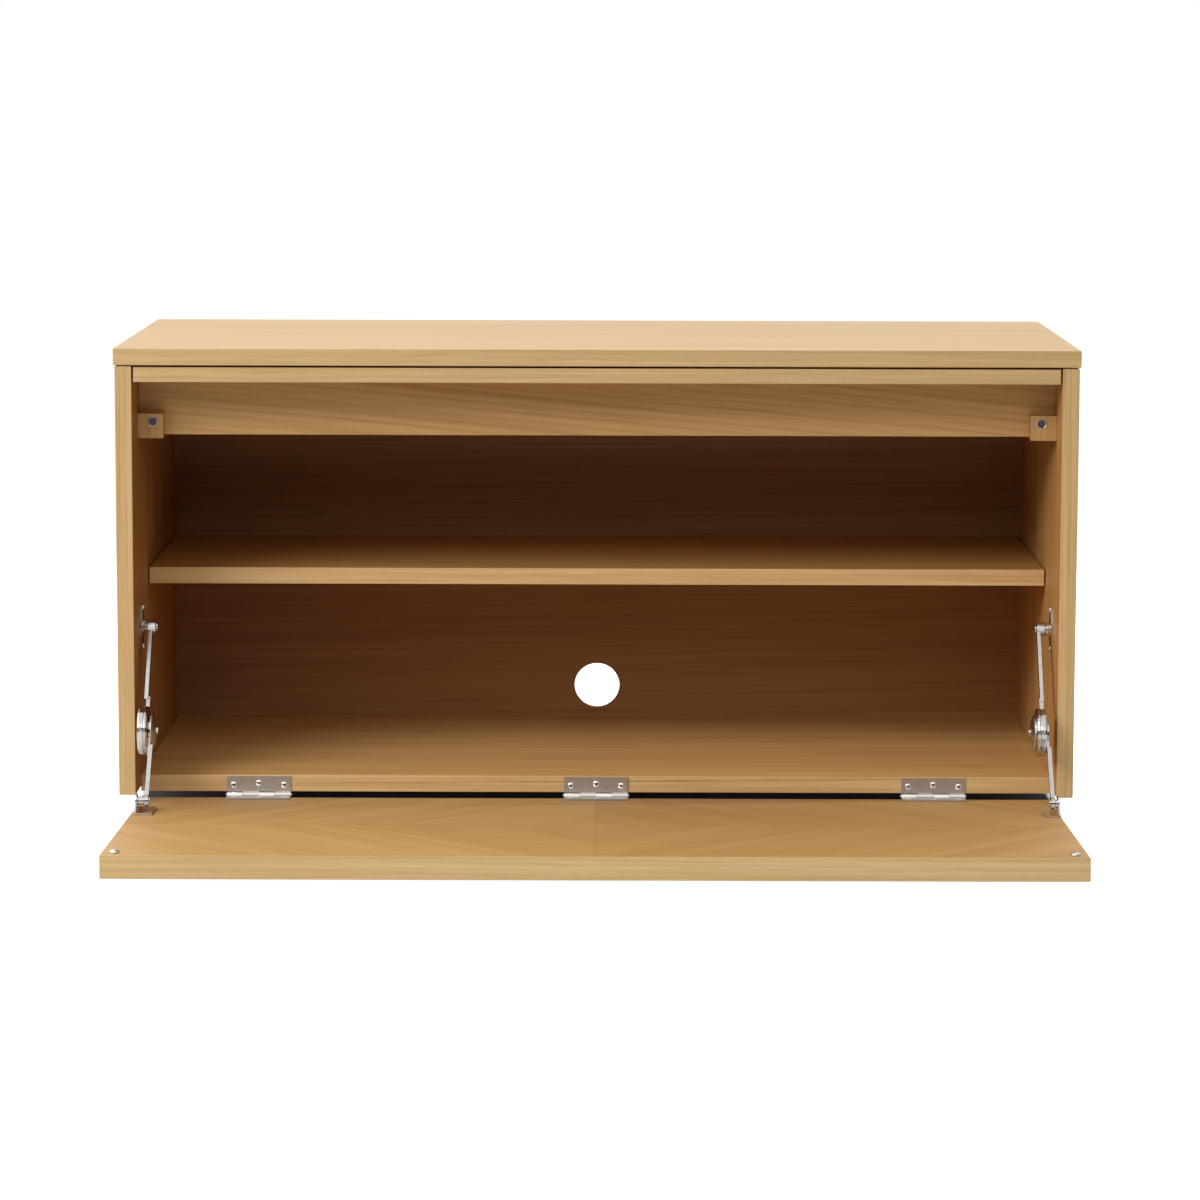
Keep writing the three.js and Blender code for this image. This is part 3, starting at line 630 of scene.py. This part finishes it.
def skin(shape, lower, upper):
    """Quads between two loops of the same length."""
    for step in range(len(lower)):
        after = (step + 1) % len(lower)
        shape.faces.new((lower[step], lower[after], upper[after], upper[step]))


def lathe(shape, profile, segments=32):
    """A closed ring turned about Z: the (radius, height) points close on themselves."""
    loops = [ring_of(shape, radius, height, segments) for radius, height in profile]
    for lower, upper in zip(loops, loops[1:] + loops[:1]):
        skin(shape, lower, upper)


def cross_outline(half_length, half_width):
    """The twelve corners of a plus sign, counted round its centre."""
    corners = []
    for quarter in range(4):
        turn = Matrix.Rotation(math.pi / 2 * quarter, 2)
        for corner in ((half_length, -half_width), (half_length, half_width), (half_width, half_width)):
            corners.append(turn @ Vector(corner))
    return corners


def cross_screw(shape, profile, recess, segments=32):
    """A screw head on Z: (radius, height) points from the rim of its flat top outwards and down, with a
    cross recess in the top. recess gives the cross's half length, half width and depth."""
    half_length, half_width, depth = recess
    top = profile[0][1]
    loops = [ring_of(shape, radius, height, segments) for radius, height in profile]
    for upper, lower in zip(loops, loops[1:]):
        skin(shape, upper, lower)
    shape.faces.new(loops[-1])
    outline = cross_outline(half_length, half_width)
    mouth = [shape.verts.new((point.x, point.y, top)) for point in outline]
    floor = [shape.verts.new((point.x * 0.7, point.y * 0.7, top - depth)) for point in outline]
    skin(shape, mouth, floor)
    shape.faces.new(floor)
    rim = [shape.edges.get(pair) for pair in zip(loops[0], loops[0][1:] + loops[0][:1])]
    lip = [shape.edges.get(pair) for pair in zip(mouth, mouth[1:] + mouth[:1])]
    bmesh.ops.triangle_fill(shape, use_beauty=True, edges=rim + lip)


def flap_frame():
    """The open flap's own frame: origin on the hinge axis, -Y to its free edge, +Z up from its face."""
    return Matrix.Translation((0, AXIS.y, AXIS.z)) @ Matrix.Rotation(-FLAP_TILT, 4, "X")


def placed_screw(name, matrix, turn, shape_of, metal, body):
    def maker(shape):
        shape_of(shape)
        bmesh.ops.transform(shape, matrix=matrix @ Matrix.Rotation(turn, 4, "Z"), verts=shape.verts)
    return mesh_piece(name, maker, metal, body)


def countersunk(shape):
    """Flat head, sunk just under the leaf's face, on a stub of its shank."""
    profile = [(3.2, -0.15), (3.4, -0.27), (1.6, -1.35), (1.5, -1.75)]
    cross_screw(shape, [(r * MM, h * MM) for r, h in profile], (2.0 * MM, 0.45 * MM, 0.9 * MM))


def pan_head(shape):
    """Low domed head that stands on the bracket."""
    profile = [(1.9, 1.55), (2.5, 1.35), (2.95, 0.85), (3.05, 0.0)]
    cross_screw(shape, [(r * MM, h * MM) for r, h in profile], (1.7 * MM, 0.4 * MM, 0.8 * MM))


def magnet_cup(shape):
    """Rim of the plated cup round a magnet, standing a little proud of the block."""
    profile = [(4.36, 0.0), (4.4, 0.4), (4.7, 0.6), (5.2, 0.55), (5.6, 0.2), (5.65, 0.0)]
    lathe(shape, [(r * MM, h * MM) for r, h in profile])


def flap_leaf_screws(metal):
    """Three screws in each hinge leaf on the flap, above the ones in the cabinet's leaf."""
    leaf_face = -LEAF_PLAY
    for hinge in HINGES:
        for number in (1, 2, 3):
            low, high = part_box(f"hinge_{hinge}_screw_{number}")
            reach = (low.z + high.z) / 2 - AXIS.z
            spot = Matrix.Translation(((low.x + high.x) / 2, -reach, leaf_face))
            turn = 0.5 * number + low.x * 7
            placed_screw(f"hinge_{hinge}_flap_screw_{number}", flap_frame() @ spot, turn, countersunk,
                         metal, "flap")


def side_bracket_screws(metal):
    for side, sign in SIDES.items():
        low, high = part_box(f"{side}_stay_side_bracket")
        middle = (low + high) / 2
        plate_face = (low.x if sign < 0 else high.x) - sign * PLATE_THICKNESS
        inwards = Matrix.Rotation(-sign * math.pi / 2, 4, "Y")
        for word, end in (("lower", -1), ("upper", 1)):
            height = middle.z + end * ((high.z - low.z) / 2 - PLATE_TIP)
            spot = Matrix.Translation((plate_face, middle.y, height)) @ inwards
            placed_screw(f"{side}_bracket_{word}_screw", spot, 0.6 + end, pan_head, metal, "carcass")


def magnet_cups(metal):
    for side in SIDES:
        low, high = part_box(f"{side}_catch_magnet")
        block_low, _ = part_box(f"{side}_catch_block")
        place = ((low.x + high.x) / 2, block_low.y, (low.z + high.z) / 2)
        spot = Matrix.Translation(place) @ Matrix.Rotation(math.pi / 2, 4, "X")
        placed_screw(f"{side}_magnet_cup", spot, 0.0, magnet_cup, metal, "carcass")


def add_hardware(metal):
    flap_leaf_screws(metal)
    side_bracket_screws(metal)
    magnet_cups(metal)


# ---------------------------------------------------------------- stage, light and camera

# The studio floor lies just under the open flap, so that the gap behind its hinges looks into shadow, real
# shade made deeper by a painted shadow on the floor's colour.
FLOOR_DROP = 9.0 * MM
FLOOR_REACH = 60.0
FLOOR_BOUNCE = 0.8
FAR_BOUNCE = 0.08  # the share of it past the lamps' reach, a painted falloff that darkens the floor's colour
SHADE_BOUNCE = 0.05  # the share of it in the cabinet's shade, a painted shadow that darkens the floor's colour there

# Where the floor's painted shadow under the cabinet ends, and how far the painted falloff of the lamps
# reaches, all in millimetres.
SHADE_ENDS = (490.0, 500.0)
SHADE_WIDENS = (-340.0, -290.0, 0.0, 22.0)  # behind the flap the painted shadow widens a little, as the cabinet hides a little more of the floor
SHADE_FRONT = (-560.0, -640.0)
SHADE_BACK = (-30.0, 0.0)
LAMP_REACH = (1300.0, 2300.0)

CABLE_HOLE_RADIUS = 26.3 * MM
CABLE_HOLE_UP = 56.7 * MM  # from the back panel's lower edge


def white_floor(low):
    """A pale matt floor that shows white, except in a painted shadow under the cabinet that darkens its
    colour and drops its glow, and whose colour is painted darker away from the lamps as painted falloff.
    """
    material, nodes, shader = new_material("studio_floor")
    x, y, z = place_mm(nodes)
    out = nodes.math("SUBTRACT", nodes.math("ABSOLUTE", x), nodes.spread(y, *SHADE_WIDENS))
    beyond_ends = nodes.spread(out, *SHADE_ENDS)
    before = nodes.spread(y, *SHADE_FRONT)
    behind = nodes.spread(y, *SHADE_BACK)
    outside_painted_shadow = nodes.math("MAXIMUM", beyond_ends, nodes.math("MAXIMUM", before, behind))
    mottle = nodes.noise(nodes.combine(x, y, z), scale=0.004, detail=3.0)
    squares = nodes.math("ADD", nodes.math("MULTIPLY", x, x), nodes.math("MULTIPLY", y, y))
    distance = nodes.math("SQRT", squares)
    # painted falloff: the floor's colour darkens away from the lamps
    shade = nodes.spread(distance, *LAMP_REACH, FLOOR_BOUNCE, FLOOR_BOUNCE * FAR_BOUNCE)
    shade = nodes.math("MULTIPLY", shade, nodes.spread(mottle, 0.3, 0.7, 0.98, 1.02))
    # painted shadow: the floor's colour is darkened under the cabinet
    shade = nodes.math("MULTIPLY", shade, nodes.spread(outside_painted_shadow, 0.0, 1.0, SHADE_BOUNCE, 1.0))
    nodes.feed(shader.inputs["Base Color"], nodes.combine(shade, shade, shade))
    shader.inputs["Roughness"].default_value = 0.9
    shader.inputs["Specular IOR Level"].default_value = 0.1
    shader.inputs["Emission Color"].default_value = (1.0, 1.0, 1.0, 1.0)
    path = nodes.make("ShaderNodeLightPath")
    # the glow that only the camera sees is taken away in the painted shadow
    glow = nodes.math("MULTIPLY", path.outputs["Is Camera Ray"], outside_painted_shadow)
    nodes.feed(shader.inputs["Emission Strength"], glow)
    bpy.ops.mesh.primitive_plane_add(size=FLOOR_REACH, location=(0, 0, low.z - FLOOR_DROP))
    floor = bpy.context.object
    floor.name = "studio_floor"
    floor.data.materials.append(material)


def hole_flag():
    """A black disc inside the cable hole that the camera can't see: it keeps the backdrop's light out."""
    material, _, shader = new_material("flag_black")
    shader.inputs["Base Color"].default_value = (0.0, 0.0, 0.0, 1.0)
    shader.inputs["Roughness"].default_value = 1.0
    low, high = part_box("back_panel")
    place = (0, (low.y + high.y) / 2, low.z + CABLE_HOLE_UP)
    bpy.ops.mesh.primitive_circle_add(vertices=48, radius=CABLE_HOLE_RADIUS, fill_type="NGON",
                                      location=place, rotation=(math.pi / 2, 0, 0))
    flag = bpy.context.object
    flag.name = "hole_flag"
    flag.data.materials.append(material)
    flag.visible_camera = False


# Height on the dome (0 at the horizon, 1 overhead) and its light there.
DOME_LIGHT = ((0.0, 0.02), (0.15, 0.1), (0.28, 1.1), (0.45, 1.45), (0.75, 1.0))
DOME_LEAN = 0.72  # how much brighter the dome's far left is than its middle
BACKDROP_LIGHT = 1.15


def studio_world():
    """A dome that is dark near the floor, bright overhead, and white low down behind the cabinet."""
    world = bpy.data.worlds.new("studio")
    bpy.context.scene.world = world
    world.use_nodes = True
    nodes = Nodes(world.node_tree)
    world.node_tree.nodes.clear()
    coordinate = nodes.make("ShaderNodeTexCoord")
    across, away, up = nodes.separate(coordinate.outputs["Generated"])
    dome = nodes.ramp(up, [(height, (light, light, light)) for height, light in DOME_LIGHT])
    lean = nodes.math("MULTIPLY_ADD", across, -DOME_LEAN, 1.0)
    dome = nodes.mix(1.0, dome, nodes.combine(lean, lean, lean), "MULTIPLY")
    low = nodes.spread(up, 0.42, 0.2)
    backdrop = nodes.math("MULTIPLY", nodes.spread(away, 0.35, 0.8), low)
    light = nodes.mix(backdrop, dome, (BACKDROP_LIGHT, BACKDROP_LIGHT, BACKDROP_LIGHT))
    path = nodes.make("ShaderNodeLightPath")
    seen = nodes.mix(path.outputs["Is Camera Ray"], light, (1.0, 1.0, 1.0))
    background = nodes.make("ShaderNodeBackground")
    nodes.feed(background.inputs["Color"], seen)
    background.inputs["Strength"].default_value = 1.0
    output = nodes.make("ShaderNodeOutputWorld")
    nodes.tree.links.new(background.outputs[0], output.inputs[0])


def softbox(name, place, target, width, height, power, colour=(1, 1, 1)):
    """A rectangular area lamp that faces its target."""
    data = bpy.data.lights.new(name, "AREA")
    data.shape = "RECTANGLE"
    data.size = width
    data.size_y = height
    data.energy = power
    data.color = colour
    lamp = bpy.data.objects.new(name, data)
    bpy.context.scene.collection.objects.link(lamp)
    lamp.location = place
    lamp.rotation_mode = "QUATERNION"
    lamp.rotation_quaternion = (Vector(place) - Vector(target)).to_track_quat("Z", "Y")
    return lamp


CAMERA = {
    "place": Vector((0.0104, -5.1539, 0.4060)),
    "lens_mm": 131.83,
    "sensor_mm": 36.0,
    "down": 0.1292,
    "yaw": 0.0014,
    "roll": -0.0028,
}


def add_camera():
    data = bpy.data.cameras.new("camera")
    data.sensor_width = CAMERA["sensor_mm"]
    data.lens = CAMERA["lens_mm"]
    data.clip_end = 200.0
    camera = bpy.data.objects.new("camera", data)
    bpy.context.scene.collection.objects.link(camera)
    level = Matrix.Rotation(math.pi / 2, 4, "X")
    pitch = Matrix.Rotation(-CAMERA["down"], 4, "X")
    yaw = Matrix.Rotation(CAMERA["yaw"], 4, "Z")
    roll = Matrix.Rotation(-CAMERA["roll"], 4, "Z")
    camera.matrix_world = Matrix.Translation(CAMERA["place"]) @ yaw @ level @ pitch @ roll
    bpy.context.scene.camera = camera


def light_studio():
    studio_world()
    middle = (CAD_BOX[0] + CAD_BOX[1]) / 2
    softbox("key", (-1.9, -2.3, 1.5), middle, 1.3, 1.1, 40.0, colour=(0.95, 1.0, 1.12))
    bpy.context.scene.view_settings.view_transform = "Standard"


add_camera()
light_studio()
white_floor(CAD_BOX[0])
hole_flag()
finish_boards()
add_hardware(finish_metalware())
